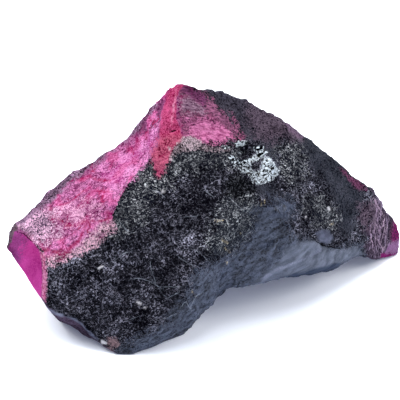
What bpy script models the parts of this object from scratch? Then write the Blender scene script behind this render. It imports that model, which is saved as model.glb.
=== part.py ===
"""A rough pink sapphire: one broken lump of corundum in its dark rind, lying on its flat sole.

Tables are in millimetres and Blender is in metres. +X runs along the stone to its thin tip,
-Y is its black front and +Z is up. The origin is under the middle of the stone, at its sole.
"""

import bmesh
import bpy
import numpy as np
from mathutils import Vector, noise

MM = 0.001
# Size of the even quads that the relief is cut in, and how many triangles are kept.
QUAD = 0.45
TRIANGLES = 8600
# Relief in millimetres: the width of its swells, lumps and flat chips, and how high each stands.
SWELL = (6.0, 0.30)
LUMP = (2.6, 0.14)
CHIP = (2.6, 0.22)
# The tilt of a chip fades out over this share of its width, and this number picks the tilts.
CHIP_BORDER = 0.3
CELL_SEED = 7.3
# Side of the block that cuts the sole.
SLAB = 80.0
# The relief is set back by this much, so that it keeps the outline of the corners.
SET_BACK = 0.10
# Near-black rind, dull to satin: colour as linear RGB.
RIND_COLOUR = (0.024, 0.024, 0.034, 1.0)
RIND_ROUGHNESS = 0.55
# The sole is cut flat this far above the lowest corners.
SOLE_CUT = 0.6

# Corners that two halves share.
BULGE_HIGH = (6.3, -4.0, 16.9)
BACK_MIDDLE = (-4.0, 13.4, 12.0)
BACK_RIGHT = (8.0, 14.0, 9.0)
RIDGE_RIGHT = (7.7, 7.5, 20.2)

# The thick half: the pink slope, its flat end face, the black front and the sole.
THICK_HALF = {
    "foot": (-8.9, -11.25, -SOLE_CUT),
    "toe_left": (-11.9, -10.2, 2.4),
    "heel_edge": (-14.4, -9.2, 3.4),
    "heel": (-17.6, -8.0, 4.5),
    "end_face_front": (-17.8, -6.3, 9.6),
    "end_face_tip": (-22.5, -2.0, 8.8),
    "end_face_back": (-21.7, 1.2, 9.2),
    "slope_front": (-10.3, -6.0, 13.3),
    "slope_middle": (-9.0, -4.0, 16.9),
    "slope_high": (-7.6, -2.5, 18.3),
    "crest_end": (-19.3, 3.0, 10.4),
    "crest_low": (-16.1, 4.5, 13.1),
    "crest_middle": (-8.6, 6.5, 17.4),
    "under_summit": (0.0, 4.0, 19.0),
    "bulge_low": (-2.1, -10.1, 8.4),
    "bulge_middle": (1.2, -8.1, 13.1),
    "bulge_high": BULGE_HIGH,
    "under_front": (-0.5, -8.6, 3.4),
    "under_notch": (1.2, -7.0, 4.2),
    "sole_heel": (-16.7, -5.4, 0.5),
    "sole_left_front": (-13.4, -8.2, -SOLE_CUT),
    "sole_left_back": (-14.5, 6.0, -SOLE_CUT),
    "sole_back": (-2.0, 10.5, -SOLE_CUT),
    "sole_right": (6.5, 9.5, -SOLE_CUT),
    "sole_front": (-2.6, -7.0, -SOLE_CUT),
    "back_left": (-15.5, 9.0, 7.0),
    "back_middle": BACK_MIDDLE,
    "back_right": BACK_RIGHT,
}

# The head: the red ridge that climbs to the summit, and the brow beside it.
HEAD = {
    "summit": (-2.8, 5.0, 25.7),
    "crest_high": (-6.0, 6.0, 22.3),
    "crest_step": (-8.2, 6.5, 18.5),
    "ridge_top": (-5.9, -1.1, 20.1),
    "ridge_low": (-4.4, -2.2, 18.8),
    "brow_left": (-2.6, -1.2, 20.8),
    "brow_right": (3.9, 0.9, 20.8),
    "bulge_high": BULGE_HIGH,
    "crown_left": (0.4, 5.5, 24.7),
    "crown_middle": (4.0, 6.5, 22.8),
    "crown_right": RIDGE_RIGHT,
    "neck_front_left": (-7.5, -2.0, 11.0),
    "neck_front_right": (2.0, -5.5, 11.0),
    "neck_back_left": (-9.0, 9.0, 11.0),
    "back_middle": BACK_MIDDLE,
    "back_right": BACK_RIGHT,
}

# The thin half: it runs out over a hollow to the striped tip.
THIN_HALF = {
    "root_top": (1.0, 5.0, 21.0),
    "root_back": (-3.0, 9.0, 12.0),
    "root_low": (-1.0, 4.0, 4.0),
    "brow_right": (4.6, 1.4, 20.4),
    "bulge_high": BULGE_HIGH,
    "temple": (9.5, 4.0, 19.3),
    "notch": (3.2, -5.4, 4.8),
    "notch_back": (3.2, -2.4, 2.8),
    "cheek_left": (9.4, -4.1, 12.9),
    "cheek_right": (12.1, -2.1, 9.2),
    "lens_left": (9.1, -3.1, 4.7),
    "lens_right": (13.3, -1.0, 4.5),
    "lens_edge": (10.7, -3.4, 6.9),
    "lens_edge_right": (15.5, 1.4, 5.8),
    "neck_low": (16.5, 2.4, 3.9),
    "neck_front": (19.2, 4.9, 3.8),
    "tip_base_left": (19.7, 5.6, 1.6),
    "tip_base": (21.8, 7.0, 0.3),
    "tip_end_low": (23.1, 8.0, -0.2),
    "tip_end": (23.3, 9.5, 1.8),
    "tip_edge": (22.0, 9.5, 4.2),
    "tip_shoulder": (20.0, 8.0, 8.3),
    "tip_back": (20.5, 12.0, 0.8),
    "crest_far": (18.9, 7.5, 10.2),
    "crest_right": (15.0, 7.5, 13.5),
    "crest_middle": (11.3, 8.0, 16.9),
    "ridge_right": RIDGE_RIGHT,
    "back_right": BACK_RIGHT,
    "back_far": (17.0, 13.0, 5.0),
    "back_low": (8.0, 12.0, 3.0),
}

# Hollows pressed into the surface: two ends of a line, how far it reaches, and how deep.
HOLLOWS = {
    "mirror_scoop": ((5.6, -0.6, 19.3), (7.6, -2.2, 16.6), 3.4, 0.9),
    "temple_groove": ((8.6, 1.6, 19.4), (9.4, -1.6, 15.6), 1.1, 0.5),
    "brow_pocket": ((3.2, -5.6, 16.2), (5.4, -5.4, 14.6), 2.2, 0.5),
    "pink_patch": ((-1.0, 1.2, 22.2), (2.6, 1.4, 21.6), 2.4, 0.5),
    "summit_chip": ((0.6, 3.8, 24.4), (2.6, 4.6, 23.2), 1.6, 0.35),
    "slope_basin": ((-15.0, -1.0, 11.6), (-11.0, 0.5, 15.0), 3.6, 0.5),
    "ridge_crease": ((-7.4, 3.6, 20.0), (-6.9, -0.6, 18.6), 1.5, 0.45),
    "front_valley": ((-9.0, -7.6, 10.5), (-4.5, -9.4, 6.5), 3.0, 0.35),
    "notch_crease": ((2.4, -6.2, 5.6), (3.4, -6.6, 10.0), 1.6, 0.4),
    "back_hollow": ((2.0, 13.0, 12.5), (7.0, 12.5, 13.0), 4.0, 1.0),
    "back_step": ((-10.0, 12.0, 6.0), (-6.0, 12.5, 5.0), 2.6, 0.8),
}


def clear_scene():
    for old in list(bpy.data.objects):
        bpy.data.objects.remove(old)


def hull_of(name, corners):
    """A closed lump: the hull of its named corners."""
    shape = bmesh.new()
    for place in corners.values():
        shape.verts.new(Vector(place))
    result = bmesh.ops.convex_hull(shape, input=shape.verts)
    loose = [v for v in result["geom_interior"] if isinstance(v, bmesh.types.BMVert)]
    bmesh.ops.delete(shape, geom=loose, context="VERTS")
    bmesh.ops.recalc_face_normals(shape, faces=shape.faces)
    mesh = bpy.data.meshes.new(name)
    shape.to_mesh(mesh)
    shape.free()
    return link(name, mesh)


def link(name, mesh):
    lump = bpy.data.objects.new(name, mesh)
    bpy.context.scene.collection.objects.link(lump)
    return lump


def evaluated_mesh(lump):
    graph = bpy.context.evaluated_depsgraph_get()
    return bpy.data.meshes.new_from_object(lump.evaluated_get(graph))


def joined(lumps):
    """One mesh of even quads over all the lumps."""
    first = lumps[0]
    for other in lumps[1:]:
        union = first.modifiers.new("join", "BOOLEAN")
        union.operation = "UNION"
        union.object = other
    remesh = first.modifiers.new("even", "REMESH")
    remesh.mode = "VOXEL"
    remesh.voxel_size = QUAD
    mesh = evaluated_mesh(first)
    for lump in lumps:
        bpy.data.objects.remove(lump)
    return mesh


def read(mesh):
    """The mesh's points and normals as two arrays."""
    points = np.empty(len(mesh.vertices) * 3)
    normals = np.empty(len(mesh.vertices) * 3)
    mesh.vertices.foreach_get("co", points)
    mesh.vertex_normals.foreach_get("vector", normals)
    return points.reshape(-1, 3), normals.reshape(-1, 3)


def write(mesh, points):
    mesh.vertices.foreach_set("co", points.ravel())
    mesh.update()


def fall(distance, reach):
    """1 at no distance, falling smoothly to 0 at reach."""
    near = np.clip(1 - distance / reach, 0, 1)
    return near * near * (3 - 2 * near)


def distance_to_line(points, start, end):
    start, end = np.array(start), np.array(end)
    along = end - start
    share = np.clip((points - start) @ along / (along @ along), 0, 1)
    return np.linalg.norm(points - start - share[:, None] * along, axis=1)


def press_hollows(mesh):
    for start, end, reach, depth in HOLLOWS.values():
        points, normals = read(mesh)
        amount = depth * fall(distance_to_line(points, start, end), reach)
        write(mesh, points - normals * amount[:, None])


def chip_height(place, cell):
    """Height of a surface broken into small tilted faces, one for each cell of that width."""
    distances, centres = noise.voronoi(place / cell)
    tilt = noise.cell_vector(centres[0] * CELL_SEED)
    inside = min(1, (distances[1] - distances[0]) / CHIP_BORDER)
    return tilt.dot(place / cell - centres[0]) * inside


def relief(place):
    """Height of the broken surface at a place."""
    swell = noise.noise(place / SWELL[0]) * SWELL[1]
    lumps = noise.fractal(place / LUMP[0], 0.9, 2.2, 3) * LUMP[1]
    chips = chip_height(place, CHIP[0]) * CHIP[1]
    return swell + lumps + chips - SET_BACK


def end_face_share(points, normals):
    """1 on the flat end face of the thick half, falling to 0 within a millimetre of its edge."""
    face = np.array(THICK_HALF["end_face_tip"])
    down = np.array(THICK_HALF["heel"]) - face
    across = np.array(THICK_HALF["end_face_front"]) - face
    flat = np.cross(down, across)
    flat /= np.linalg.norm(flat)
    off_face = np.abs((points - face) @ flat)
    facing = np.abs(normals @ flat)
    return fall(off_face, 0.8) * np.clip((facing - 0.8) / 0.15, 0, 1)


def roughen(mesh):
    """Breaks the even faces up, least on the flat end face."""
    points, normals = read(mesh)
    rough = 1 - 0.9 * end_face_share(points, normals)
    height = np.array([relief(Vector(place)) for place in points])
    write(mesh, points + normals * (height * rough)[:, None])


def slab_below():
    """A block whose top is the plane of the sole."""
    shape = bmesh.new()
    bmesh.ops.create_cube(shape, size=SLAB)
    bmesh.ops.translate(shape, verts=shape.verts, vec=(0, 0, -SLAB / 2))
    mesh = bpy.data.meshes.new("slab")
    shape.to_mesh(mesh)
    shape.free()
    return link("slab", mesh)


def thinned_and_cut(mesh):
    """The mesh with its flat places in fewer triangles, and its underside cut flat."""
    stone = link("stone", mesh)
    slab = slab_below()
    thin = stone.modifiers.new("thin", "DECIMATE")
    triangles = sum(len(face.vertices) - 2 for face in mesh.polygons)
    thin.ratio = TRIANGLES / triangles
    thin.use_collapse_triangulate = True
    cut = stone.modifiers.new("sole", "BOOLEAN")
    cut.operation = "DIFFERENCE"
    cut.object = slab
    kept = evaluated_mesh(stone)
    bpy.data.objects.remove(stone)
    bpy.data.objects.remove(slab)
    return kept


def keep_largest(shape):
    """Deletes the crumbs that the cut leaves beside the stone."""
    left = set(shape.verts)
    islands = []
    while left:
        island, edge_of_island = set(), [left.pop()]
        while edge_of_island:
            corner = edge_of_island.pop()
            island.add(corner)
            near = {edge.other_vert(corner) for edge in corner.link_edges} & left
            left -= near
            edge_of_island.extend(near)
        islands.append(island)
    islands.sort(key=len)
    crumbs = [corner for island in islands[:-1] for corner in island]
    bmesh.ops.delete(shape, geom=crumbs, context="VERTS")


def centre(shape):
    """Puts the origin under the middle of the stone's box, at its sole."""
    places = np.array([v.co for v in shape.verts])
    low, high = places.min(axis=0), places.max(axis=0)
    middle = ((low[0] + high[0]) / 2, (low[1] + high[1]) / 2, low[2])
    bmesh.ops.translate(shape, verts=shape.verts, vec=-Vector(middle))


def rind_material():
    material = bpy.data.materials.new("dark_rind")
    material.use_nodes = True
    surface = material.node_tree.nodes["Principled BSDF"]
    surface.inputs["Base Color"].default_value = RIND_COLOUR
    surface.inputs["Roughness"].default_value = RIND_ROUGHNESS
    surface.inputs["Metallic"].default_value = 0.0
    return material


def main():
    clear_scene()
    lumps = [
        hull_of("thick_half", THICK_HALF),
        hull_of("head", HEAD),
        hull_of("thin_half", THIN_HALF),
    ]
    mesh = joined(lumps)
    press_hollows(mesh)
    roughen(mesh)
    mesh = thinned_and_cut(mesh)
    shape = bmesh.new()
    shape.from_mesh(mesh)
    keep_largest(shape)
    centre(shape)
    bmesh.ops.scale(shape, verts=shape.verts, vec=(MM, MM, MM))
    shape.to_mesh(mesh)
    shape.free()
    mesh.name = "sapphire"
    mesh.materials.append(rind_material())
    link("sapphire", mesh)


main()
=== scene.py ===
import math

import bmesh
import bpy
import numpy as np
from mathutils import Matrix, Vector, noise


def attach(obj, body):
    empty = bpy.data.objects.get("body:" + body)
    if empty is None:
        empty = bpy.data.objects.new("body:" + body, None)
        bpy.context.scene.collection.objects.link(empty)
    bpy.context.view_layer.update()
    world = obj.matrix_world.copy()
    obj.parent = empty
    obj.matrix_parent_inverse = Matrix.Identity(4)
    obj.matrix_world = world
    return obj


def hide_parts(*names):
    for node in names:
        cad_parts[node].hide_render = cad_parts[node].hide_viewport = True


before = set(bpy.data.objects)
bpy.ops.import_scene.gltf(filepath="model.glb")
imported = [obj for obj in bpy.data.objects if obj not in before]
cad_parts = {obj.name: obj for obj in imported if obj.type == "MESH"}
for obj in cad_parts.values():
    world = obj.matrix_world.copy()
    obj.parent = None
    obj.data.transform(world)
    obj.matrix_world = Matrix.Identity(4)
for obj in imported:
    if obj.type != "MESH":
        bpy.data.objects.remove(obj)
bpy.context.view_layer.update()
print("stone read from the frame")

mm = 0.001

# camera: long lens, looking down at the stone's dark front
camera = {
    "place": (-1.007, -204.181, 155.342),  # mm
    "lookDown": 35.0,  # degrees
    "lens": 200.0,
    "sensor": 36.0,
    "frame": 400,  # pixels across, and down
}

cameraData = bpy.data.cameras.new("camera")
cameraData.lens = camera["lens"]
cameraData.sensor_width = camera["sensor"]
cameraData.clip_start = 0.005
cameraData.clip_end = 20.0
cameraObject = bpy.data.objects.new("camera", cameraData)
bpy.context.scene.collection.objects.link(cameraObject)
cameraObject.location = Vector(camera["place"]) * mm
cameraObject.rotation_euler = (math.radians(90 - camera["lookDown"]), 0, 0)
bpy.context.scene.camera = cameraObject


def linear(hexColour):  # an sRGB hex value as linear RGBA, by the standard curve
    channels = [int(hexColour[i:i + 2], 16) / 255 for i in (1, 3, 5)]
    low, power = 0.04045, 2.4
    curved = [c / 12.92 if c <= low else ((c + 0.055) / 1.055) ** power for c in channels]
    return (*curved, 1.0)


def addNode(tree, kind, links=None, **settings):  # a node with its settings, values and links
    node = tree.nodes.new(kind)
    for name, value in settings.items():
        setattr(node, name, value)
    for name, value in (links or {}).items():
        if isinstance(value, bpy.types.NodeSocket):
            tree.links.new(value, node.inputs[name])
        else:
            node.inputs[name].default_value = value
    return node


def newTree(owner):  # an empty node tree on a material or world
    owner.use_nodes = True
    owner.node_tree.nodes.clear()
    return owner.node_tree


def smoothStep(value, low, high):
    share = np.clip((value - low) / (high - low), 0, 1)
    return share * share * (3 - 2 * share)


# the fine mesh of the stone, and the relief that is cut in it: width and height in mm
relief = {
    "voxel": 0.20,  # between points
    "mergeWithin": 0.01,
    "softenTimes": 3,
    "softenBy": 0.5,
    "crags": (1.7, 0.27),  # broken faces of the rind
    "lumps": (0.8, 0.11),
    "grain": (0.36, 0.060),
    "ripples": (1.5, 0.16),  # shell-like steps of the pink slope
    "fibres": (0.55, 0.10),  # down the tip
    "ropes": (0.7, 0.03),  # on the mirror patch
    "bends": (1.1, 0.35),  # of the crags, ripples and fibres
    "drawnOut": {"ripples": (1.0, 2.0, 1.3), "fibres": (1, 1, 6), "ropes": (1.6, 1.6, 0.8)},
    "calmerOnPink": {"crags": 0.7, "lumps": 0.3},
    "calmerOnTip": 0.5,
    "calmerOnBlue": 0.6,
    "grooveEdge": 0.14,  # how near the middle of the ripples' noise a groove starts
    "colouredGrooves": (3.0, 0.7),  # noise width in mm of where they are red, and how red
    "stillSole": (0.02, 0.6),  # heights in mm between which the relief starts, so the sole stays flat
}

# small corrections of the form: where in the picture, reach in pixels, and the move in mm
pushes = {
    "underTip": ((358, 266), 15, (0, 0, 1.0)),
    "endRim": ((11, 231), 8, (-0.30, 0, 0.25)),
    "heel": ((92, 346), 16, (0, 0, 0.45)),
    "leftRim": ((46, 197), 9, (0, 0, 0.65)),
    "middleRim": ((72, 175), 8, (0, 0, 0.45)),
    "crest": ((177, 89), 17, (0, 0, 0.42)),
    "shoulder": ((286, 125), 13, (0, 0, 0.40)),
    "tipTop": ((373, 190), 6, (0, 0, 0.40)),
    "heelSide": ((70, 334), 12, (0.25, 0, 0.60)),
}


def refinedStone():
    source = bpy.data.objects["sapphire"]
    shape = bmesh.new()
    shape.from_mesh(source.data)
    bmesh.ops.remove_doubles(shape, verts=shape.verts, dist=relief["mergeWithin"] * mm)
    mesh = bpy.data.meshes.new("roughStone")
    shape.to_mesh(mesh)
    shape.free()
    piece = bpy.data.objects.new("roughStone", mesh)
    bpy.context.scene.collection.objects.link(piece)
    even = piece.modifiers.new("even", "REMESH")
    even.mode = "VOXEL"
    even.voxel_size = relief["voxel"] * mm
    graph = bpy.context.evaluated_depsgraph_get()
    fine = bpy.data.meshes.new_from_object(piece.evaluated_get(graph))
    piece.modifiers.clear()
    piece.data = fine
    shape = bmesh.new()
    shape.from_mesh(fine)
    for _ in range(relief["softenTimes"]):
        bmesh.ops.smooth_vert(shape, verts=shape.verts, factor=relief["softenBy"],
                              use_axis_x=True, use_axis_y=True, use_axis_z=True)
    shape.to_mesh(fine)
    shape.free()
    return piece


def pointsOf(mesh):  # places in mm and unit normals
    places = np.empty(len(mesh.vertices) * 3)
    normals = np.empty(len(mesh.vertices) * 3)
    mesh.vertices.foreach_get("co", places)
    mesh.vertex_normals.foreach_get("vector", normals)
    return places.reshape(-1, 3) / mm, normals.reshape(-1, 3)


def photoPlaces(places):  # where the camera sees each place, in pixels of the frame
    down = math.radians(camera["lookDown"])
    forward = np.array((0, math.cos(down), -math.sin(down)))
    up = np.array((0, math.sin(down), math.cos(down)))
    off = places - np.array(camera["place"])
    pixels = camera["frame"] * camera["lens"] / camera["sensor"]
    depth = off @ forward
    half = camera["frame"] / 2
    return np.stack((half + pixels * off[:, 0] / depth, half - pixels * (off @ up) / depth), 1)


def insideOutline(seen, outline):  # distance inside an outline in pixels, negative outside
    corners = np.array(outline, float)
    nearest = np.full(len(seen), 1e9)
    inside = np.zeros(len(seen), bool)
    for start, end in zip(corners, np.roll(corners, -1, 0)):
        along = end - start
        share = np.clip((seen - start) @ along / (along @ along), 0, 1)
        nearest = np.minimum(nearest, np.linalg.norm(seen - start - share[:, None] * along, axis=1))
        crosses = (start[1] > seen[:, 1]) != (end[1] > seen[:, 1])
        rise = end[1] - start[1] or 1e-9
        inside ^= crosses & (seen[:, 0] < start[0] + (seen[:, 1] - start[1]) / rise * along[0])
    return np.where(inside, nearest, -nearest)


def noiseAt(places, width, octaves=2, stretch=(1, 1, 1)):  # about -1 to 1, features this wide in mm
    scaled = places / (np.array(stretch) * width)
    return np.array([noise.fractal(Vector(p), 1.0, 2.0, octaves) for p in scaled])


# where each finish lies on the side that the camera sees: an outline of a few corners in pixels
# of the frame, how ragged its border is and how softly it ends, both in pixels
zones = {
    "topBand": {"outline": [(178, 76), (192, 80), (215, 86), (245, 94), (275, 106), (306, 124), (300, 140),
                            (276, 138), (266, 150), (256, 140), (244, 138), (232, 128), (224, 116),
                            (212, 104), (200, 96), (184, 90)],
                "ragged": 3.0, "soft": 8.0},
    "slate": {"outline": [(298, 128), (316, 138), (345, 158), (362, 180), (360, 200), (354, 222),
                          (346, 234), (338, 228), (336, 208), (330, 188), (316, 170), (300, 152)],
              "more": [[(265, 139), (272, 136), (276, 148), (284, 170), (281, 174), (277, 164),
                        (272, 156)],
                       [(256, 186), (272, 183), (277, 187), (272, 194), (258, 195)]],
              "ragged": 4.0, "soft": 9.0},
    # painted glints: near-white grain where the rind faces up toward the lights
    "glintBand": {"outline": [(110, 236), (112, 214), (124, 190), (146, 160), (165, 150), (180, 145),
                              (200, 146), (238, 148), (240, 165), (200, 168), (178, 176), (160, 194),
                              (144, 218), (128, 236)],
                  "more": [[(278, 148), (296, 140), (304, 156), (306, 176), (292, 184), (282, 172)],
                           [(306, 200), (322, 196), (336, 208), (338, 226), (322, 228), (308, 216)]],
                  "ragged": 6.0, "soft": 9.0},
    "pocket": {"outline": [(230, 176), (246, 174), (256, 190), (256, 204), (240, 208), (226, 192)],
               "ragged": 5.0, "soft": 6.0},
    "brownGrain": {"outline": [(222, 205), (250, 198), (262, 206), (262, 226), (248, 246), (228, 262),
                               (212, 262), (206, 246), (212, 224)],
                   "ragged": 6.0, "soft": 12.0},
    # blue-grey lower faces: partly painted reflection of the pale table, partly a thin coat that reflects it
    "paintedTableSheen": {"outline": [(112, 366), (120, 348), (138, 338), (160, 328), (176, 308), (188, 292),
                         (194, 274), (212, 262), (230, 254), (246, 244), (256, 230), (256, 212),
                         (268, 202), (284, 199), (294, 204), (292, 216), (284, 226), (290, 236),
                         (306, 240), (320, 246), (336, 251), (358, 246), (372, 262), (330, 282),
                         (240, 305), (180, 352)],
             "ragged": 6.0, "soft": 12.0},
    # the lens facet's blue-grey is partly painted reflection of the pale table, partly a coat that reflects
    # it
    "lens": {"outline": [(236, 291), (258, 280), (276, 266), (286, 250), (306, 240), (320, 243), (324, 250),
                         (338, 251), (356, 246), (362, 254), (350, 262), (322, 272), (282, 283)],
             "ragged": 2.0, "soft": 3.0},
    "lensUnder": {"outline": [(238, 292), (262, 283), (290, 275), (318, 268), (340, 262), (342, 272),
                              (300, 284), (250, 296)],
                  "ragged": 1.0, "soft": 1.5},
    "chip": {"outline": [(315, 233), (322, 229), (330, 231), (332, 238), (328, 244), (320, 242)],
             "ragged": 0.8, "soft": 1.2},
    "slope": {"outline": [(180, 78), (150, 98), (124, 124), (98, 148), (60, 170), (32, 198), (4, 222),
                          (14, 232), (31, 240), (43, 250), (48, 262), (60, 262), (75, 253), (90, 245),
                          (103, 238), (111, 228), (113, 215), (117, 203), (123, 192), (134, 175),
                          (146, 162), (156, 153), (164, 142), (172, 138), (190, 138), (200, 128),
                          (200, 100), (190, 84)],
              "ragged": 0.8, "soft": 1.0},
    "upperSlope": {"outline": [(174, 84), (150, 102), (132, 126), (136, 136), (150, 135), (158, 126),
                               (163, 110), (167, 96)],
                   "ragged": 4.0, "soft": 6.0},
    "orchid": {"outline": [(158, 128), (140, 140), (112, 158), (96, 176), (108, 190), (122, 186), (134, 170),
                           (148, 158), (156, 144)],
               "ragged": 6.0, "soft": 12.0},
    "ridge": {"outline": [(186, 84), (172, 84), (166, 96), (161, 118), (158, 136), (160, 142),
                          (152, 156), (153, 162), (157, 178), (163, 172), (168, 160), (173, 150),
                          (177, 144), (182, 138), (181, 128), (177, 120), (177, 100), (180, 90)],
              "ragged": 1.5, "soft": 2.0},
    "ridgeLow": {"outline": [(158, 138), (184, 132), (186, 142), (174, 150), (168, 162), (158, 178),
                              (153, 164), (152, 154)],
                 "ragged": 3.0, "soft": 6.0},
    "patch": {"outline": [(174, 84), (188, 84), (201, 93), (210, 104), (219, 113), (229, 123),
                          (239, 133), (240, 139), (226, 145), (212, 147), (198, 144), (184, 139),
                          (176, 126), (174, 104)],
              "ragged": 5.0, "soft": 10.0},
    "patchTeal": {"outline": [(178, 97), (188, 95), (200, 103), (204, 112), (196, 116), (182, 114)],
                  "ragged": 7.0, "soft": 8.0},
    "patchBand": {"outline": [(182, 119), (206, 120), (222, 124), (233, 131), (233, 139), (216, 144),
                              (200, 140), (188, 134)],
                  "ragged": 4.0, "soft": 7.0},
    "patchRim": {"outline": [(206, 98), (214, 105), (223, 114), (232, 124), (239, 133), (236, 138),
                             (229, 130), (220, 121), (211, 111), (204, 103)],
                 "ragged": 3.5, "soft": 3.0},
    "patchTop": {"outline": [(178, 86), (188, 85), (198, 91), (206, 100), (203, 104), (194, 98),
                             (184, 92)],
                 "ragged": 3.0, "soft": 4.0},
    "brow": {"outline": [(177, 144), (184, 138), (194, 138), (201, 144), (212, 148), (230, 149),
                         (230, 151), (212, 151.5), (200, 149), (186, 150), (176, 157), (170, 160),
                         (172, 152)],
             "ragged": 3.0, "soft": 4.0},
    "endFace": {"outline": [(0, 240), (15, 231), (24, 234), (31, 240), (40, 251), (42, 262), (42, 303),
                            (34, 300), (0, 250)],
                "ragged": 0.6, "soft": 1.0},
    "endFaceLeft": {"outline": [(0, 240), (15, 228), (24, 232), (25, 240), (22, 250), (20, 262),
                                (14, 262), (0, 250)],
                    "ragged": 3.0, "soft": 6.0},
    "endRim": {"outline": [(4, 252), (9, 247), (12, 239), (14, 231), (18, 228), (12, 218), (2, 226)],
               "ragged": 1.0, "soft": 1.2},
    # painted glints: near-white sparks beside the mirror patch
    "paintedMirrorGlints": {"outline": [(228, 157), (234, 156), (240, 160), (247, 161), (250, 165), (242, 167),
                                 (236, 166)],
                     "more": [[(253, 146), (262, 146), (264, 150), (254, 151)],
                              [(221, 146), (232, 144), (232, 148), (222, 149)]],
                     "ragged": 2.0, "soft": 2.0},
    # painted reflection: the mirror patch's near-white colour stands in for part of its reflection of a
    # softbox; its metal gloss reflects for real
    "mirror": {"outline": [(265, 156.5), (269, 158), (273, 162), (277, 166), (279.5, 171), (277, 176),
                           (271, 180.5), (264, 183.5), (256, 185), (251, 182), (250, 176), (242, 172),
                           (238, 168), (242, 165), (249, 166), (253, 170), (257, 172), (261, 170),
                           (262, 164), (263, 160)],
               "more": [[(234, 143), (238, 141), (243, 141.5), (247.5, 141), (247.5, 144), (242, 146),
                         (238, 147.5), (235, 146)],
                        [(239, 151.5), (245.5, 151), (245, 153.5), (240, 153.5)],
                        [(247, 161), (250, 157.5), (255, 155.5), (258, 152), (264, 150), (266.5, 152.5),
                         (263, 156.5), (258, 160), (252, 161.5)]],
               "ragged": 1.5, "soft": 1.3},
    "tip": {"outline": [(371, 190), (377, 198), (372, 206), (367, 212), (371, 220), (364, 228),
                        (369, 238), (364, 246), (368, 256), (366, 262), (405, 262), (405, 200),
                        (385, 186)],
            "ragged": 4.0, "soft": 4.0},
    "tipBorder": {"outline": [(360, 206), (371, 203), (374, 214), (371, 224), (364, 228), (358, 218)],
                  "ragged": 4.0, "soft": 6.0},
    "tipEdge": {"outline": [(393, 222), (390.5, 232), (391, 242), (397, 244), (405, 244), (405, 218)],
                "ragged": 0.8, "soft": 2.5},
    "tipBase": {"outline": [(381, 253), (388, 253), (395, 252.5), (398, 254), (396, 262), (378, 262)],
                "ragged": 0.6, "soft": 1.0},
    "tipPink": {"outline": [(389, 244), (398, 240), (405, 242), (405, 253), (386, 253)],
                "ragged": 1.0, "soft": 2.5},
    "purple": {"outline": [(250, 106), (268, 108), (300, 130), (300, 138), (284, 137), (270, 140), (258, 136),
                           (248, 122)],
               "ragged": 4.0, "soft": 12.0},
    "paleEdge": {"outline": [(284, 119), (292, 122), (304, 136), (300, 139), (290, 131), (284, 124)],
                 "ragged": 1.0, "soft": 2.5},
    "redEdge": {"outline": [(340, 168), (350, 174), (360, 183), (366, 190), (356, 187), (346, 177)],
                "ragged": 2.5, "soft": 3.5},
    "heelStrip": {"outline": [(42, 298), (50, 308), (58, 313), (66, 316), (80, 323), (90, 334), (98, 341),
                              (118, 354), (100, 352), (60, 330), (42, 316)],
                  "ragged": 0.8, "soft": 1.2},
    "greySugar": {"outline": [(6, 224), (24, 206), (40, 205), (54, 212), (60, 224), (56, 236), (44, 244),
                              (28, 238), (12, 232)],
                  "ragged": 5.0, "soft": 11.0},
    "paleSugar": {"outline": [(56, 208), (76, 206), (84, 198), (99, 204), (98, 214), (84, 218), (74, 224),
                              (60, 220)],
                  "ragged": 5.0, "soft": 9.0},
    "whiteBorder": {"outline": [(48, 258), (62, 255), (78, 247), (92, 238), (104, 226), (112, 222),
                                (111, 230), (97, 242), (79, 251), (62, 261), (48, 265)],
                    "ragged": 5.0, "soft": 7.0},
    "greyFringe": {"outline": [(0, 232), (9, 230), (18, 224), (26, 218), (36, 211), (46, 206), (55, 200),
                               (62, 192), (68, 185), (78, 177), (88, 170), (100, 160), (112, 151),
                               (127, 140), (138, 129), (146, 117), (155, 106), (152, 98), (138, 112),
                               (122, 132), (96, 148), (58, 166), (28, 194), (0, 216)],
                   "ragged": 3.0, "soft": 4.0},
    "pinkRim": {"outline": [(39, 250), (46, 256), (47, 275), (46, 304), (42, 304), (42, 270)],
                "ragged": 1.0, "soft": 2.0},
    "foxed": {"outline": [(107, 338), (116, 338), (119, 345), (112, 350), (106, 344)],
              "ragged": 2.5, "soft": 3.0},
}

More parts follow.
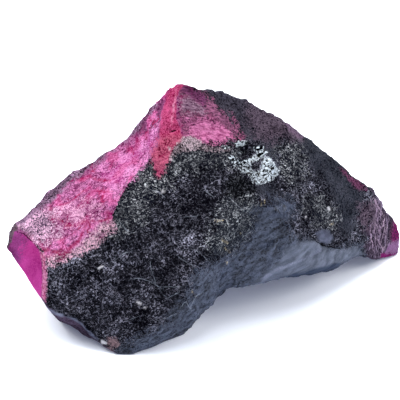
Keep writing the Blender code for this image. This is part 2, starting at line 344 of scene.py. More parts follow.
# marks on the same side: lines of pixels and their half width
strokes = {
    "vein": [([(42, 248), (52, 251), (62, 254), (70, 252)], 1.3),
             ([(58, 219), (66, 225), (76, 226)], 1), ([(60, 241), (72, 234), (80, 228)], 0.8),
             ([(68, 250), (78, 241), (84, 230), (87, 221)], 1.5),
             ([(76, 226), (88, 220), (98, 222), (110, 218)], 1),
             ([(58, 205), (70, 202), (80, 194), (84, 190)], 0.8),
             ([(80, 180), (90, 176), (100, 180), (110, 180)], 1.6),
             ([(95, 190), (104, 192), (112, 191)], 0.8), ([(150, 163), (158, 158), (164, 154)], 0.7)],
    # painted highlight down the lit crest
    "paintedRidgeHighlight": [([(176, 89), (175, 100), (173, 112), (172, 124)], 0.8)],
    # painted highlights along lit edges of the heel and the lens
    "paintedEdgeHighlight": [([(46, 308), (54, 313), (62, 316)], 1.3),
                 ([(57, 313), (66, 316), (80, 323), (90, 334), (97, 340)], 0.8),
                 ([(262, 280), (277, 270), (291, 265), (307, 257), (321, 250)], 1.2),
                 ([(327, 245), (331, 239), (332, 234)], 0.6)],
    # painted glints: small white spots where the stone catches the light
    "paintedGlints": [([(102, 342), (105, 343)], 1.4), ([(111, 236), (111, 236.5)], 1),
             ([(138, 302), (140, 304)], 1.2), ([(99, 268), (103, 266)], 0.8),
             ([(144, 307), (145, 308)], 0.8), ([(305, 217), (305.4, 217)], 0.8),
             ([(328, 208), (328.6, 209)], 1), ([(162.5, 191), (163, 192)], 1),
             ([(169, 148), (169.4, 149)], 0.8)],
    "gold": [([(216, 221), (223, 220)], 0.9), ([(260, 200), (262, 206)], 0.8),
             ([(264, 200), (265, 205)], 0.6), ([(225, 248), (229, 252)], 1),
             ([(192, 292), (196, 296)], 1), ([(226, 262), (227, 263)], 0.8),
             ([(222, 240), (227, 243)], 0.8), ([(331, 224), (333, 224)], 0.8),
             ([(238, 232), (241, 234)], 0.8)],
}

# marks thinner than the points of the mesh are apart: half width in pixels, and lines of pixels. the
# material draws them from the distance to the line
threads = {
    "lint": (0.32, [[(150, 263), (153, 275), (156, 284), (163, 294), (168, 298), (178, 293)],
                    [(132, 279), (142, 279), (149, 281), (160, 287), (180, 287)],
                    [(184, 217), (190, 217), (197, 216)], [(206, 192), (212, 196)],
                    [(182, 306), (186, 301), (190, 309), (196, 296), (200, 294)],
                    [(196, 250), (202, 254), (206, 259)], [(120, 222), (126, 230), (132, 232)],
                    [(151, 189), (157, 191), (163, 196)], [(232, 200), (237, 205), (243, 210)],
                    [(178, 257), (186, 262), (193, 266)], [(118, 200), (122, 190), (128, 181)],
                    [(113, 262), (121, 255), (131, 251)], [(158, 321), (166, 318), (176, 314)],
                    [(128, 320), (137, 317)]]),
    "striae": (0.40, [[(370, 197), (372, 208), (372.5, 219), (370.5, 229), (371, 241), (374, 251)],
                      [(371, 200), (375, 207), (377, 215), (378.5, 224), (380, 232)],
                      [(375, 199), (379, 208), (383, 214)], [(385, 217), (382.5, 225), (378.5, 231)],
                      [(376, 212), (375, 222), (374, 232), (376, 244)],
                      [(374, 199), (378, 210), (383, 222), (384, 230), (381, 242)],
                      [(388, 222), (385, 232), (387, 242), (383, 251)],
                      [(373, 215), (377, 228), (378, 240), (383, 250)]]),
    "crack": (0.50, [[(307, 232), (312, 236), (318, 242), (324, 246), (332, 247), (340, 249)],
                     [(18, 231.5), (24, 234), (31, 240)], [(236, 289), (240, 283)],
                     [(171, 131), (176, 129.5)]]),
}
threadReach = 3.0  # pixels to each side of a thread where its distance is kept

# broad lighter (above 0) and darker parts of the grain, partly painted light and shade of the broad faces:
# middle and reach in pixels, strength
tonesWithPaintedLight = [((150, 180), 17, 1.1), ((212, 176), 22, -0.6), ((150, 234), 24, -0.45),
         ((172, 212), 18, -0.3), ((73, 270), 22, 1.1), ((64, 286), 12, 0.3), ((192, 248), 13, 0.6),
         ((165, 290), 22, -0.45), ((108, 302), 22, -0.35), ((290, 168), 13, 0.8),
         ((330, 190), 10, 0.3), ((207, 206), 13, -0.75), ((188, 226), 12, -0.4), ((128, 206), 8, -0.4),
         ((243, 150), 6, -0.6), ((190, 200), 10, -0.3), ((208, 192), 6, 0.4), ((90, 330), 14, -0.3),
         ((312, 210), 12, -0.25), ((284, 226), 9, -0.4), ((325, 226), 8, -0.3), ((312, 178), 9, -0.3),
         ((92, 326), 14, -0.3), ((192, 88), 10, -0.9), ((176, 250), 20, -0.15),
         ((170, 305), 14, -0.25), ((88, 262), 12, 0.5), ((128, 196), 9, 0.3), ((150, 186), 9, 0.5)]

# pink windows on the sides that the camera does not see: middle and reach in mm
windowsBehind = {
    "leftBack": ((-19.0, 2.0, 6.0), 4.5),
    "backHigh": ((-8.0, 6.0, 19.0), 4.5),
    "backTip": ((20.0, 9.0, 4.0), 3.0),
}


def besideLine(seen, points):  # distance from a line of pixels, below 0 on one side of it
    nearest = np.full(len(seen), 1e9)
    corners = np.array(points, float)
    for start, end in zip(corners[:-1], corners[1:]):
        along = end - start
        off = seen - start
        share = np.clip(off @ along / (along @ along), 0, 1)
        away = np.linalg.norm(off - share[:, None] * along, axis=1)
        away = np.copysign(away, along[0] * off[:, 1] - along[1] * off[:, 0])
        nearest = np.where(np.abs(away) < np.abs(nearest), away, nearest)
    return nearest


# how the borders of the zones and marks stray and fade
borders = {
    "coarse": (1.6, 0.9),  # noise width in mm, and its part in how ragged a zone is
    "fine": (0.5, 0.6),
    "farSide": (-0.30, 0.05),  # cosines to the camera between which the zones fade out
    "wander": 0.9,  # pixels that a mark strays
    "markEdge": (0.6, 1.5),  # half widths between which a mark fades out
    "brokenTo": 0.55,  # middle strength of a mark that the fine noise breaks up
    "windowStart": 1.15,  # reaches from the middle of a window to its border
    "windowRagged": (0.5, 0.2),  # coarse and fine
    "windowSoft": 0.3,
    "fringe": (-0.20, 0.0),  # grey border outside a window
    "rosy": (1.9, (-0.15, 0.35)),  # noise width in mm, and where its rosy clouds start and end
}
brokenMarks = ("vein", "paintedRidgeHighlight", "paintedEdgeHighlight", "striae", "lint", "gold")


def zoneShares(places, normals):  # one number from 0 to 1 at each point for each zone
    toCamera = np.array(camera["place"]) - places
    toCamera /= np.linalg.norm(toCamera, axis=1)[:, None]
    facing = smoothStep((normals * toCamera).sum(1), *borders["farSide"])
    seen = photoPlaces(places)
    (coarseWidth, coarsePart), (fineWidth, finePart) = borders["coarse"], borders["fine"]
    coarse = noiseAt(places, coarseWidth)
    fine = noiseAt(places + 40.0, fineWidth)
    shares = {}
    for name, zone in zones.items():
        border = insideOutline(seen, zone["outline"])
        for other in zone.get("more", []):
            border = np.maximum(border, insideOutline(seen, other))
        border += zone["ragged"] * (coarsePart * coarse + finePart * fine)
        shares[name] = smoothStep(border, -zone["soft"], zone["soft"]) * facing
    strayed = seen + np.stack((coarse, fine), 1) * borders["wander"]
    for name, lines in strokes.items():
        near = [1 - smoothStep(np.abs(besideLine(strayed, points)) / halfWidth, *borders["markEdge"])
                for points, halfWidth in lines]
        shares[name] = np.max(near, axis=0) * facing
    for name, (_, lines) in threads.items():
        sides = np.array([besideLine(strayed, points) for points in lines])
        side = sides[np.abs(sides).argmin(0), np.arange(len(places))]
        shares[name + "Side"] = side
        shares[name] = (1 - smoothStep(np.abs(side) / threadReach, *borders["markEdge"])) * facing
    for name in brokenMarks:
        shares[name] *= borders["brokenTo"] + (1 - borders["brokenTo"]) * np.clip(1.5 * fine, -1, 1)
    edge = np.full(len(places), -1.0)
    coarsePart, finePart = borders["windowRagged"]
    for middle, reach in windowsBehind.values():
        away = np.linalg.norm(places - np.array(middle), axis=1) / reach
        edge = np.maximum(edge, borders["windowStart"] - away + coarsePart * coarse + finePart * fine)
    window = smoothStep(edge, 0, borders["windowSoft"])
    fringe = smoothStep(edge, *borders["fringe"]) * (1 - window)
    shares["slope"] = np.maximum(shares["slope"], window * (1 - facing))
    shares["greyFringe"] = np.maximum(shares["greyFringe"], fringe * (1 - facing))
    width, (low, high) = borders["rosy"]
    shares["rosy"] = smoothStep(noiseAt(places + 90.0, width, 3), low, high) * shares["slope"]
    for name in ("slope", "greySugar", "whiteBorder", "pinkRim", "vein", "rosy"):
        shares[name] *= 1 - shares["endFace"]
    for name in ("patch", "patchTeal", "patchBand", "patchTop"):
        shares[name] *= 1 - shares["ridge"]
    return shares


def cragHeight(places, width):  # broken faces: flat, tilted, with low steps between them
    height = np.empty(len(places))
    for i, place in enumerate(places / width):
        distances, centres = noise.voronoi(Vector(place))
        tilt = noise.cell_vector(centres[0] * 5.1)  # any factor that gives each face its own tilt
        height[i] = tilt.dot(Vector(place) - centres[0]) * min(1, (distances[1] - distances[0]) * 4)
    return height


# how much a zone calms the relief, from 0 to 1
calmZones = {"endFace": 0.95, "heelStrip": 0.7, "lens": 0.5, "slate": 0.5, "chip": 0.8}
grooveDepths = {"vein": 0.10, "crack": 0.08}  # mm
paintedHollowShade = {"depth": 0.26, "darker": 0.55}  # painted shade: the hollows of the relief are drawn darker, with less bright grain
leastTone = 0.2


def carve(piece):  # cuts the fine relief and stores the zones on the mesh
    mesh = piece.data
    places, normals = pointsOf(mesh)
    seen = photoPlaces(places)
    for middle, reach, move in pushes.values():
        away = np.linalg.norm(seen - np.array(middle), axis=1) / reach
        places += np.exp(-away ** 2)[:, None] * np.array(move)
    shares = zoneShares(places, normals)
    calm = np.clip(sum(shares[name] * part for name, part in calmZones.items()), 0, 0.95)
    pink = np.clip(shares["slope"] + shares["patch"] + shares["ridge"], 0, 1)
    onPink, drawnOut = relief["calmerOnPink"], relief["drawnOut"]
    width, reach = relief["bends"]
    warp = np.stack([noiseAt(places + shift, width) for shift in (0.0, 17.0, 31.0)], 1) * reach
    width, depth = relief["crags"]
    height = cragHeight(places + warp, width) * depth
    height *= 1 - pink * onPink["crags"] - shares["tip"] * relief["calmerOnTip"]
    width, depth = relief["lumps"]
    height += noiseAt(places, width, 3) * depth * (1 - pink * onPink["lumps"])
    # painted shade: how deep each point lies in a hollow of the relief
    hollowShade = smoothStep(-height, 0.0, paintedHollowShade["depth"])
    width, depth = relief["grain"]
    height += noiseAt(places + 9.0, width) * depth * (1 - shares["paintedTableSheen"] * relief["calmerOnBlue"])
    width, depth = relief["ripples"]
    steps = np.abs(noiseAt(places + warp * 2, width, 2, drawnOut["ripples"]))
    edge = relief["grooveEdge"]
    shares["grooves"] = smoothStep(edge - steps, 0, edge) * shares["slope"]
    height -= shares["grooves"] * depth
    width, strength = relief["colouredGrooves"]
    shares["grooves"] *= strength * smoothStep(noiseAt(places + 70.0, width), -0.3, 0.3)
    height -= sum(shares[name] * depth for name, depth in grooveDepths.items())
    width, depth = relief["fibres"]
    fibre = 1 - 2 * np.abs(noiseAt(places + warp, width, 2, drawnOut["fibres"]))
    height += fibre * depth * shares["tip"]
    width, depth = relief["ropes"]
    rope = 1 - 2 * np.abs(noiseAt(places + warp, width, 2, drawnOut["ropes"]))
    height += rope * depth * shares["mirror"]
    aboveSole = smoothStep(places[:, 2], *relief["stillSole"])
    moved = places + normals * (height * (1 - calm) * aboveSole)[:, None]
    moved[:, 2] = np.maximum(moved[:, 2], 0)
    mesh.vertices.foreach_set("co", (moved * mm).ravel())
    # broad tones of the grain, partly painted light and shade of the broad faces
    toneWithPaintedLight = np.ones(len(places))
    for middle, reach, strength in tonesWithPaintedLight:
        toneWithPaintedLight += strength * np.exp(-(np.linalg.norm(seen - np.array(middle), axis=1) / reach) ** 2)
    # painted shade in the hollows, times the broad tones with their painted light and shade
    shares["paintedShadeAndTone"] = (1 - paintedHollowShade["darker"] * hollowShade * (1 - calm)) * np.maximum(toneWithPaintedLight, leastTone)
    for name, share in shares.items():
        layer = mesh.attributes.new(name, "FLOAT", "POINT")
        layer.data.foreach_set("value", share.astype(np.float32))
    mesh.update()
    for face in mesh.polygons:
        face.use_smooth = True


# how each zone looks: its dull and its bright colour, the pattern that mixes them, how rough it is,
# how mirror-like its bright grain is, and how far its flakes tilt
looks = {
    # the rind's bright grain is partly painted glints: a near-white colour, with metal gloss on half of it
    "rind": ("#030309", "#DCDCF8", "glint", 0.20, 0.5, 0.50),
    "topBand": ("#07060E", "#524E5C", "sugar", 0.40, 0.2, 0.35),
    "slate": ("#080A11", "#42444F", "sugar", 0.40, 0.1, 0.25),
    # painted glints where the rind faces up, with some metal gloss
    "glintBand": ("#080A18", "#F2F6FF", "glint", 0.20, 0.5, 0.50),
    "pocket": ("#010204", "#72747F", "glint", 0.40, 0.2, 0.40),
    "brownGrain": ("#0E121F", "#F0F6FF", "glint", 0.30, 0.3, 0.50),
    # partly painted reflection of the pale table
    "paintedTableSheen": ("#02030B", "#5B6379", "streaked", 0.28, 0.0, 0.20),
    # partly painted reflection of the pale table
    "lens": ("#161E2C", "#62687A", "swept", 0.32, 0.0, 0.08),
    "lensUnder": ("#1C2436", "#3E4658", "swept", 0.35, 0.0, 0.08),
    "chip": ("#0C0E1A", "#585C72", "swept", 0.30, 0.0, 0.05),
    "slope": ("#640F47", "#E894CC", "wrinkled", 0.50, 0.0, 0.22),
    "upperSlope": ("#400F32", "#90507A", "sugar", 0.50, 0.0, 0.25),
    "orchid": ("#982070", "#EA9ED4", "wrinkled", 0.50, 0.0, 0.18),
    "rosy": ("#880C4E", "#E080BA", "wrinkled", 0.50, 0.0, 0.20),
    "grooves": ("#781044", "#B43062", "grain", 0.45, 0.0, 0.15),
    "ridge": ("#7C0434", "#CC588A", "sugar", 0.40, 0.0, 0.20),
    "ridgeLow": ("#66042A", "#CC6486", "sugar", 0.40, 0.0, 0.25),
    "patch": ("#1A1424", "#AA5C84", "shredded", 0.45, 0.0, 0.25),
    "patchTeal": ("#3C1236", "#AE8AA2", "shredded", 0.45, 0.0, 0.25),
    "patchBand": ("#7A2054", "#DC88B8", "shredded", 0.45, 0.0, 0.22),
    "patchRim": ("#1E1426", "#B06C92", "shredded", 0.45, 0.0, 0.25),
    "patchTop": ("#1E0C1C", "#9C5486", "shredded", 0.45, 0.0, 0.22),
    "brow": ("#020203", "#C4AEBA", "pored", 0.45, 0.1, 0.40),
    "paleSugar": ("#843066", "#F6BCE0", "wrinkled", 0.50, 0.0, 0.25),
    "greySugar": ("#2A1838", "#FCC8EA", "pored", 0.50, 0.0, 0.30),
    "whiteBorder": ("#10040C", "#EEBCD4", "pored", 0.50, 0.0, 0.35),
    "greyFringe": ("#120E18", "#B48CB0", "pored", 0.45, 0.1, 0.35),
    "pinkRim": ("#902156", "#D590B5", "sugar", 0.50, 0.0, 0.22),
    "vein": ("#84103C", "#B42860", "grain", 0.40, 0.0, 0.15),
    # painted highlight on the crest
    "paintedRidgeHighlight": ("#C05A86", "#F4B0D0", "sugar", 0.40, 0.0, 0.10),
    # painted glints, with some metal gloss
    "paintedMirrorGlints": ("#020306", "#E6F2FF", "spark", 0.25, 0.50, 0.30),
    # near-white colour partly painted reflection, with metal gloss on top
    "mirror": ("#010204", "#E0ECF8", "flaky", 0.25, 0.65, 0.30),
    "endFace": ("#841A60", "#B84490", "grain", 0.35, 0.0, 0.03),
    "endFaceLeft": ("#360827", "#984286", "grain", 0.35, 0.0, 0.03),
    "endRim": ("#221A22", "#6A5664", "sugar", 0.45, 0.0, 0.20),
    "tip": ("#06030B", "#9884A0", "fibred", 0.40, 0.0, 0.20),
    "striae": ("#705C74", "#CCB0C8", "sugar", 0.40, 0.0, 0.10),
    "tipBorder": ("#09060F", "#6C5C6C", "pored", 0.40, 0.0, 0.20),
    "tipEdge": ("#302038", "#881E60", "sugar", 0.35, 0.0, 0.10),
    "tipBase": ("#480C38", "#842C6A", "grain", 0.35, 0.0, 0.10),
    "tipPink": ("#572F4F", "#94709A", "grain", 0.35, 0.0, 0.10),
    "purple": ("#0F0B15", "#665868", "sugar", 0.40, 0.1, 0.28),
    "paleEdge": ("#241630", "#786478", "sugar", 0.40, 0.0, 0.15),
    "redEdge": ("#180E16", "#764464", "sugar", 0.40, 0.0, 0.15),
    "heelStrip": ("#07040E", "#5A4C60", "streaked", 0.40, 0.0, 0.10),
    "foxed": ("#151115", "#A48890", "sugar", 0.45, 0.0, 0.30),
    "gold": ("#100E0E", "#B8AC94", "sugar", 0.40, 0.2, 0.30),
    "crack": ("#020204", "#08080C", "grain", 0.60, 0.0, 0.05),
    "lint": ("#5A6272", "#B4BAC6", "grain", 0.60, 0.0, 0.05),
    # painted highlight along lit edges
    "paintedEdgeHighlight": ("#4C5064", "#888CA0", "grain", 0.30, 0.0, 0.05),
    # painted glints
    "paintedGlints": ("#9A98A4", "#F4F2F6", "grain", 0.30, 0.0, 0.05),
}
glossyZones = {"lens": 0.2, "lensUnder": 0.05, "paintedTableSheen": 0.15, "chip": 0.15, "mirror": 0.3}
crispZones = ("endFace", "lens", "lensUnder", "chip", "crack", "lint", "paintedGlints", "paintedEdgeHighlight", "paintedRidgeHighlight",
              "striae", "tipEdge", "tipBase", "vein")

# grains of the broken surface: size in mm; the noise between which it shows, or the half width of the
# thin line that it draws; and where it is drawn out, how far and its turn about each axis in degrees.
# the real grain is finer, but a pixel of the picture is 0.12 mm, so it is drawn about that coarse
grains = {
    "speck": {"size": 0.13, "shows": (0.30, 0.70)},
    "net": {"size": 0.13, "shows": (0.44, 0.54)},
    "needle": {"size": 0.09, "shows": (0.62, 0.74), "drawn": (9.0, 1, 1), "turn": (0, -30, 15)},
    "crossNeedle": {"size": 0.09, "shows": (0.62, 0.74), "drawn": (9.0, 1, 1), "turn": (10, 48, 0)},
    "scratch": {"size": 1.5, "line": 0.012},
    "cloud": {"size": 2.6, "shows": (0.36, 0.64), "detail": 4.0},
    "wrinkle": {"size": 1.6, "line": 0.04, "detail": 3.0, "warp": 0.6,
                "drawn": (1.8, 1, 1), "turn": (0, -25, 0)},
    "fibre": {"size": 0.85, "line": 0.03, "detail": 3.0, "warp": 0.5,
              "drawn": (1, 1, 5), "turn": (-24, 0, 0)},
    "hole": {"size": 0.24, "shows": (0.45, 0.52), "warp": 0.6, "drawn": (2.6, 1, 1), "turn": (0, -40, 0)},
    "spark": {"size": 0.24, "shows": (0.51, 0.57), "warp": 0.6, "drawn": (2.6, 1, 1), "turn": (0, -40, 0)},
    "streak": {"size": 0.42, "shows": (0.36, 0.62), "warp": 0.5, "drawn": (2.6, 1, 1), "turn": (0, -32, 0)},
    "shred": {"size": 0.20, "shows": (0.36, 0.64), "warp": 0.5, "drawn": (3.2, 1, 1), "turn": (0, 12, 0)},
    "sweep": {"size": 0.8, "shows": (0.34, 0.66), "drawn": (5.0, 1, 1), "turn": (0, -24, 0)},
}
# flakes: each has its own random turn and chance
flakes = {
    "size": 0.15,  # mm
    "bend": (0.40, 0.7),  # size and reach in mm of the bends in their borders
    "lean": (0.5, 0.5, 0.15),  # taken from the random turn, so that they lie like shingles, leaning up
    "pores": (0.05, 0.12, 0.2),  # chances between which a flake is a dark pore, and its least share
    "gaps": (0.10, 0.40, 0.1),
}
# how the patterns are put together: each line is one sum of numbers and of what is named before it
recipe = {
    "needles": ("MAXIMUM", "needle", "crossNeedle"),
    "softNeedles": ("MULTIPLY", "needles", 0.9),
    "scratches": ("MULTIPLY", "scratch", "speck"),
    # the glint pattern's bright grain is partly painted glints in the base colour
    "brightFlakes": ("POWER", "chance", 14.0),
    "brightGrain": ("MAXIMUM", "brightFlakes", "softNeedles"),
    "glints": ("MAXIMUM", "brightGrain", "scratches"),
    "clouded": ("MULTIPLY_ADD", "cloud", 0.7, 0.2),
    "cloudedGlints": ("MULTIPLY", "glints", "clouded"),
    "softSpecks": ("POWER", "speck", 2.0),
    "dust": ("MULTIPLY", "cloud", "softSpecks"),
    "glint": ("MULTIPLY_ADD", "dust", 0.06, "cloudedGlints"),
    "speckPart": ("MULTIPLY_ADD", "speck", 0.7, -0.2),
    "crumbs": ("MULTIPLY_ADD", "chance", 0.7, "speckPart"),
    "cloudPart": ("MULTIPLY_ADD", "cloud", 0.4, -0.2),
    "mottled": ("ADD", "crumbs", "cloudPart"),
    "sugar": ("MULTIPLY", "mottled", "pores"),
    "betweenWrinkles": ("MULTIPLY_ADD", "wrinkle", -0.8, 1.0),
    "wrinkled": ("MULTIPLY", "sugar", "betweenWrinkles"),
    "halfCloud": ("MULTIPLY", "cloud", 0.5),
    "grain": ("MULTIPLY_ADD", "speck", 0.5, "halfCloud"),
    "fewSpecks": ("MULTIPLY", "speck", 0.4),
    "streaks": ("MULTIPLY_ADD", "streak", 0.5, "fewSpecks"),
    "streaked": ("MULTIPLY", "streaks", "pores"),
    "sweptSpecks": ("MULTIPLY_ADD", "speck", 0.2, 0.2),
    "swept": ("MULTIPLY_ADD", "sweep", 0.6, "sweptSpecks"),
    "fewCrumbs": ("MULTIPLY", "crumbs", 0.4),
    "shredded": ("MULTIPLY_ADD", "shred", 0.6, "fewCrumbs"),
    "softFibres": ("MULTIPLY", "fibre", 0.9),
    "dimCrumbs": ("MULTIPLY", "crumbs", 0.26),
    "fibred": ("MAXIMUM", "softFibres", "dimCrumbs"),
    "contrasty": ("POWER", "mottled", 1.5),
    "pored": ("MULTIPLY", "contrasty", "gaps"),
    "network": ("MULTIPLY_ADD", "net", 0.65, 0.35),
    "flaky": ("MULTIPLY", "hole", "network"),
}
heldTo1 = ("crumbs", "mottled")


def grainShare(tree, place, grain):  # one grain as a share from 0 to 1
    vector = place
    if "drawn" in grain:
        turn = tuple(math.radians(angle) for angle in grain["turn"])
        vector = addNode(tree, "ShaderNodeMapping", {"Vector": place, "Scale": grain["drawn"],
                                                     "Rotation": turn}, vector_type="TEXTURE").outputs[0]
    share = addNode(tree, "ShaderNodeTexNoise", {"Vector": vector, "Scale": 1 / (grain["size"] * mm),
                                                 "Detail": grain.get("detail", 2.0),
                                                 "Distortion": grain.get("warp", 0.0)}).outputs["Fac"]
    low, high = grain.get("shows") or (grain["line"], 0.0)
    if "line" in grain:  # bright where the noise passes its middle
        share = addNode(tree, "ShaderNodeMath", {0: share, 1: 0.5}, operation="SUBTRACT").outputs[0]
        share = addNode(tree, "ShaderNodeMath", {0: share}, operation="ABSOLUTE").outputs[0]
    return addNode(tree, "ShaderNodeMapRange", {"Value": share, "From Min": low, "From Max": high}).outputs[0]


def corundumPatterns(tree, place):  # shares from 0 to 1 that mix a dull and a bright colour
    bendSize, bendReach = flakes["bend"]
    bends = addNode(tree, "ShaderNodeTexNoise", {"Vector": place, "Scale": 1 / (bendSize * mm)})
    bent = addNode(tree, "ShaderNodeVectorMath", {0: bends.outputs["Color"], 1: (bendReach * mm,) * 3,
                                                  2: place}, operation="MULTIPLY_ADD").outputs[0]
    cells = addNode(tree, "ShaderNodeTexVoronoi", {"Vector": bent, "Scale": 1 / (flakes["size"] * mm)})
    tilt = addNode(tree, "ShaderNodeVectorMath", {0: cells.outputs["Color"], 1: flakes["lean"]},
                   operation="SUBTRACT").outputs[0]
    shares = {name: grainShare(tree, place, grain) for name, grain in grains.items()}
    chance = addNode(tree, "ShaderNodeSeparateXYZ", {0: cells.outputs["Color"]}).outputs["Z"]
    shares["chance"] = chance
    for name in ("pores", "gaps"):
        low, high, least = flakes[name]
        shares[name] = addNode(tree, "ShaderNodeMapRange", {"Value": chance, "From Min": low,
                                                            "From Max": high, "To Min": least}).outputs[0]
    for name, (operation, *inputs) in recipe.items():
        inputs = dict(enumerate(shares.get(value, value) for value in inputs))
        shares[name] = addNode(tree, "ShaderNodeMath", inputs, operation=operation,
                               use_clamp=name in heldTo1).outputs[0]
    return shares, tilt, cells.outputs["Distance"]


# the stone's surface as a whole
stoneSurface = {
    "threadSoft": 0.2,  # pixels over which a thread fades
    "borderGrain": 1.5,  # how far the grain breaks up the border of a zone
    "borderSharp": (0.2, 0.8),
    "bumpDepth": 0.10,  # mm
    "bumpFrom": (0.03, 0.4),  # how far the flakes tilt, and how strong the bump is
    "bumpTo": (0.1, 0.9),
    "flakeTurn": 2.0,
    "ior": 1.76,  # corundum
    "coatRoughness": 0.25,
    "coatIor": 1.6,
}


def corundumMaterial():
    # ruby-pink corundum, broken, under a rind of dark hornblende and mica: sugar grain that glints
    material = bpy.data.materials.new("brokenCorundumInRind")
    tree = newTree(material)
    place = addNode(tree, "ShaderNodeTexCoord").outputs["Object"]
    patterns, tilt, flakeMiddle = corundumPatterns(tree, place)
    # painted shade of the hollows and the broad tones dims the bright grain
    paintedShadeAndTone = addNode(tree, "ShaderNodeAttribute", attribute_name="paintedShadeAndTone").outputs["Fac"]
    used = dict.fromkeys(look[2] for look in looks.values())
    brightShares = {name: addNode(tree, "ShaderNodeMath", {0: patterns[name], 1: paintedShadeAndTone},
                                  operation="MULTIPLY", use_clamp=True).outputs[0] for name in used}
    offset = addNode(tree, "ShaderNodeMath", {0: patterns["sugar"], 1: 0.5}, operation="SUBTRACT").outputs[0]
    colour, values = None, None
    gloss = 0.0
    for name, (dull, bright, pattern, roughness, metalness, lean) in looks.items():
        own = addNode(tree, "ShaderNodeMix", {0: brightShares[pattern], 6: linear(dull), 7: linear(bright)},
                      data_type="RGBA").outputs[2]
        ownMetal = addNode(tree, "ShaderNodeMath", {0: brightShares[pattern], 1: metalness},
                           operation="MULTIPLY").outputs[0]
        ownValues = (roughness, ownMetal, lean)
        if colour is None:
            colour, values = own, ownValues
            continue
        share = addNode(tree, "ShaderNodeAttribute", attribute_name=name).outputs["Fac"]
        if name in threads:
            halfWidth, soft = threads[name][0], stoneSurface["threadSoft"]
            side = addNode(tree, "ShaderNodeAttribute", attribute_name=name + "Side").outputs["Fac"]
            away = addNode(tree, "ShaderNodeMath", {0: side}, operation="ABSOLUTE").outputs[0]
            line = addNode(tree, "ShaderNodeMapRange", {"Value": away, "From Min": halfWidth + soft,
                                                        "From Max": halfWidth - soft}).outputs[0]
            share = addNode(tree, "ShaderNodeMath", {0: share, 1: line}, operation="MULTIPLY").outputs[0]
        if name not in crispZones:  # the grain breaks up a border where the share is near a half
            partly = addNode(tree, "ShaderNodeMath", {0: share, 1: 0.5}, operation="SUBTRACT").outputs[0]
            partly = addNode(tree, "ShaderNodeMath", {0: partly, 1: partly}, operation="MULTIPLY").outputs[0]
            spread = addNode(tree, "ShaderNodeMath", {0: partly, 1: -4 * stoneSurface["borderGrain"],
                                                      2: stoneSurface["borderGrain"]},
                             operation="MULTIPLY_ADD").outputs[0]
            speckled = addNode(tree, "ShaderNodeMath", {0: offset, 1: spread, 2: share},
                               operation="MULTIPLY_ADD").outputs[0]
            low, high = stoneSurface["borderSharp"]
            share = addNode(tree, "ShaderNodeMapRange", {"Value": speckled, "From Min": low,
                                                         "From Max": high}).outputs[0]
        colour = addNode(tree, "ShaderNodeMix", {0: share, 6: colour, 7: own}, data_type="RGBA").outputs[2]
        values = [addNode(tree, "ShaderNodeMix", {0: share, 2: old, 3: new}).outputs[0]
                  for old, new in zip(values, ownValues)]
        gloss = addNode(tree, "ShaderNodeMix", {0: share, 2: gloss, 3: glossyZones.get(name, 0.0)}).outputs[0]
    rough, metal, flakeTilt = values
    (lowTilt, highTilt), (weak, strong) = stoneSurface["bumpFrom"], stoneSurface["bumpTo"]
    strength = addNode(tree, "ShaderNodeMapRange", {"Value": flakeTilt, "From Min": lowTilt,
                                                    "From Max": highTilt, "To Min": weak,
                                                    "To Max": strong}).outputs[0]
    bumpHeight = addNode(tree, "ShaderNodeMath", {0: flakeMiddle, 1: patterns["speck"]},
                         operation="ADD").outputs[0]
    bump = addNode(tree, "ShaderNodeBump", {"Height": bumpHeight, "Distance": stoneSurface["bumpDepth"] * mm,
                                            "Strength": strength}).outputs[0]
    turn = addNode(tree, "ShaderNodeMath", {0: flakeTilt, 1: stoneSurface["flakeTurn"]},
                   operation="MULTIPLY").outputs[0]
    leaning = addNode(tree, "ShaderNodeVectorMath", {0: tilt, "Scale": turn}, operation="SCALE").outputs[0]
    summed = addNode(tree, "ShaderNodeVectorMath", {0: bump, 1: leaning}, operation="ADD").outputs[0]
    normal = addNode(tree, "ShaderNodeVectorMath", {0: summed}, operation="NORMALIZE").outputs[0]
    surface = addNode(tree, "ShaderNodeBsdfPrincipled", {"Base Color": colour, "Roughness": rough,
                                                         "Metallic": metal, "Normal": normal,
                                                         "Coat Weight": gloss})
    surface.inputs["IOR"].default_value = stoneSurface["ior"]
    surface.inputs["Specular IOR Level"].default_value = 0.0  # the gloss is all in flakes and glossy zones
    surface.inputs["Coat Roughness"].default_value = stoneSurface["coatRoughness"]
    surface.inputs["Coat IOR"].default_value = stoneSurface["coatIor"]
    addNode(tree, "ShaderNodeOutputMaterial", {"Surface": surface.outputs[0]})
    return material


stonePiece = refinedStone()
print("stone refined:", len(stonePiece.data.vertices), "points")
carve(stonePiece)
print("relief and zones cut")
stonePiece.data.materials.append(corundumMaterial())
print("surface finished")
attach(stonePiece, "root")
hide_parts("sapphire")

# a pale table and soft light, in metres
studio = {
    "floorSide": 4.0,
    "floorRoughness": 0.6,
    "floorGlow": 0.19,
    "glowColour": "#D2DAFF",
    "skyStrength": 0.08,
    "skyColour": "#D8E2F4",
    "tableBoxes": {  # lights for the table alone, so that it burns out to white
        "tableBack": ((-0.08, 0.14, 0.44), 0.6, 5.3),
        "tableRight": ((0.32, -0.04, 0.12), 0.2, 0.45),
    },
    "tableColour": (0.88, 0.97, 1.08),
    "boxes": {  # place, side and watts
        "boxRight": ((0.34, -0.03, 0.31), 0.24, 1.3),
        "boxLeft": ((-0.30, 0.10, 0.34), 0.24, 1.5),
        "boxAbove": ((0.0, 0.12, 0.45), 0.30, 1.7),
    },
}


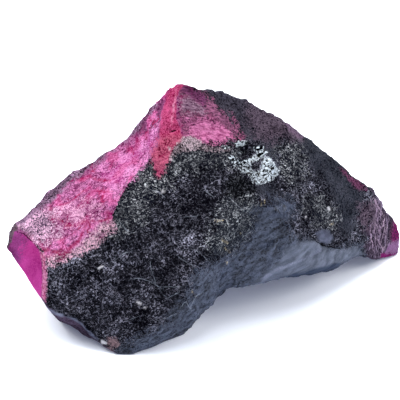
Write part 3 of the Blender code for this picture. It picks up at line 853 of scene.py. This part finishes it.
def makeFloor():
    shape = bmesh.new()
    bmesh.ops.create_grid(shape, x_segments=1, y_segments=1, size=studio["floorSide"] / 2)
    mesh = bpy.data.meshes.new("floor")
    shape.to_mesh(mesh)
    shape.free()
    floor = bpy.data.objects.new("floor", mesh)
    bpy.context.scene.collection.objects.link(floor)
    # white card, matt: it burns out to white and takes a soft cool shadow
    material = bpy.data.materials.new("mattWhiteCard")
    tree = newTree(material)
    surface = addNode(tree, "ShaderNodeBsdfPrincipled")
    surface.inputs["Base Color"].default_value = (0.9, 0.9, 0.9, 1)
    surface.inputs["Roughness"].default_value = studio["floorRoughness"]
    surface.inputs["Emission Color"].default_value = linear(studio["glowColour"])
    surface.inputs["Emission Strength"].default_value = studio["floorGlow"]
    addNode(tree, "ShaderNodeOutputMaterial", {"Surface": surface.outputs[0]})
    mesh.materials.append(material)
    return floor


def makeSky():  # the camera sees it white, and the stone a dim cool room
    world = bpy.data.worlds.new("sky")
    bpy.context.scene.world = world
    tree = newTree(world)
    room = addNode(tree, "ShaderNodeBackground", {"Color": linear(studio["skyColour"]),
                                                  "Strength": studio["skyStrength"]})
    white = addNode(tree, "ShaderNodeBackground", {"Color": (1, 1, 1, 1), "Strength": 1.0})
    path = addNode(tree, "ShaderNodeLightPath")
    both = addNode(tree, "ShaderNodeMixShader", {0: path.outputs["Is Camera Ray"], 1: room.outputs[0],
                                                 2: white.outputs[0]})
    addNode(tree, "ShaderNodeOutputWorld", {"Surface": both.outputs[0]})


def addSoftbox(name, place, side, watts, colour=(1, 1, 1)):  # a square light that faces the stone
    light = bpy.data.lights.new(name, "AREA")
    light.shape = "SQUARE"
    light.size = side
    light.energy = watts
    light.color = colour
    box = bpy.data.objects.new(name, light)
    bpy.context.scene.collection.objects.link(box)
    box.location = place
    box.rotation_euler = (-Vector(place)).to_track_quat("-Z", "Y").to_euler()
    return box


table = makeFloor()
makeSky()
litByTable = bpy.data.collections.new("litByTableLights")
litByTable.objects.link(table)
for boxName, (boxPlace, boxSide, boxWatts) in studio["tableBoxes"].items():
    tableLight = addSoftbox(boxName, boxPlace, boxSide, boxWatts, studio["tableColour"])
    tableLight.light_linking.receiver_collection = litByTable
for boxName, (boxPlace, boxSide, boxWatts) in studio["boxes"].items():
    addSoftbox(boxName, boxPlace, boxSide, boxWatts)
bpy.context.scene.view_settings.view_transform = "Standard"
print("studio ready")
